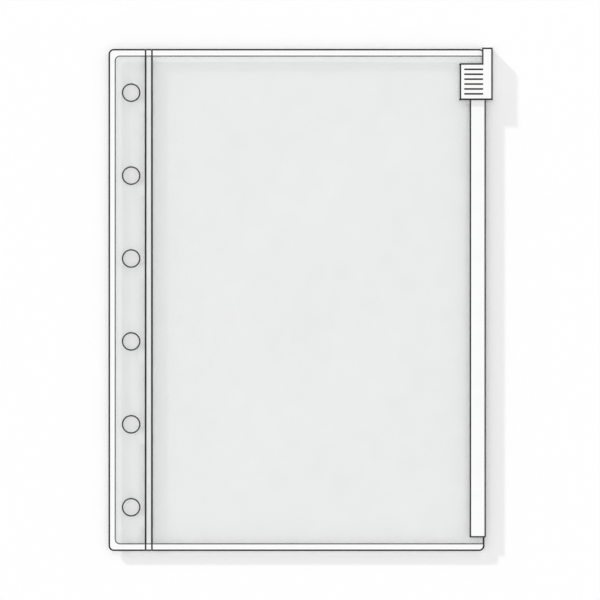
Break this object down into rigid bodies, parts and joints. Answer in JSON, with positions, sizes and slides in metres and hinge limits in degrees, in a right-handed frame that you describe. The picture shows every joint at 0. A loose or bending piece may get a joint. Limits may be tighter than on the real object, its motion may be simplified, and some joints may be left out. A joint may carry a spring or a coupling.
{
  "type": "punched zip pocket",
  "caption": "Clear zip pocket page for a ring planner: punched margin, double crease, weld band round three sides and a slide zip with its slider on the outer side.",
  "frame": {"origin": "centre of the bounding box in plan, at the underside of the slider on which the flat page rests", "axes": "+X from the punched edge towards the zip, +Y up the page, +Z out of the front film"},
  "size_m": [0.1644, 0.2154, 0.005],
  "materials": {
    "clear_film": "clear, slightly frosted film",
    "weld_band": "pressed film, whitened by the weld",
    "weld_bead": "dark smoked bead",
    "zip_track": "extruded white plastic",
    "zip_slider": "moulded white plastic"
  },
  "bodies": {
    "pocket": {"pocket_front_film": "clear_film", "pocket_rear_film": "clear_film", "top_weld_seam": "weld_band", "bottom_weld_seam": "weld_band", "pocket_crease_weld": "weld_bead", "crease_web": "clear_film", "zip_groove_track": "zip_track", "zip_rib_track": "zip_track", "top_end_stop": "zip_track", "bottom_end_stop": "zip_track"},
    "margin": {"margin_front_film": "clear_film", "margin_rear_film": "clear_film", "margin_weld_seam": "weld_band", "margin_crease_weld": "weld_bead"},
    "slider": {"zip_slider": "zip_slider"}
  },
  "joints": [
    {"name": "crease_flex", "type": "hinge", "parent": "pocket", "child": "margin", "pos_m": [-0.06495, 0, 0.0025], "axis": [0, 1, 0], "range_deg": [-90, 90], "deforming": ["crease_web"]},
    {"name": "slider_travel", "type": "slide", "parent": "pocket", "child": "slider", "axis": [0, -1, 0], "range_m": [0, 0.187]}
  ]
}
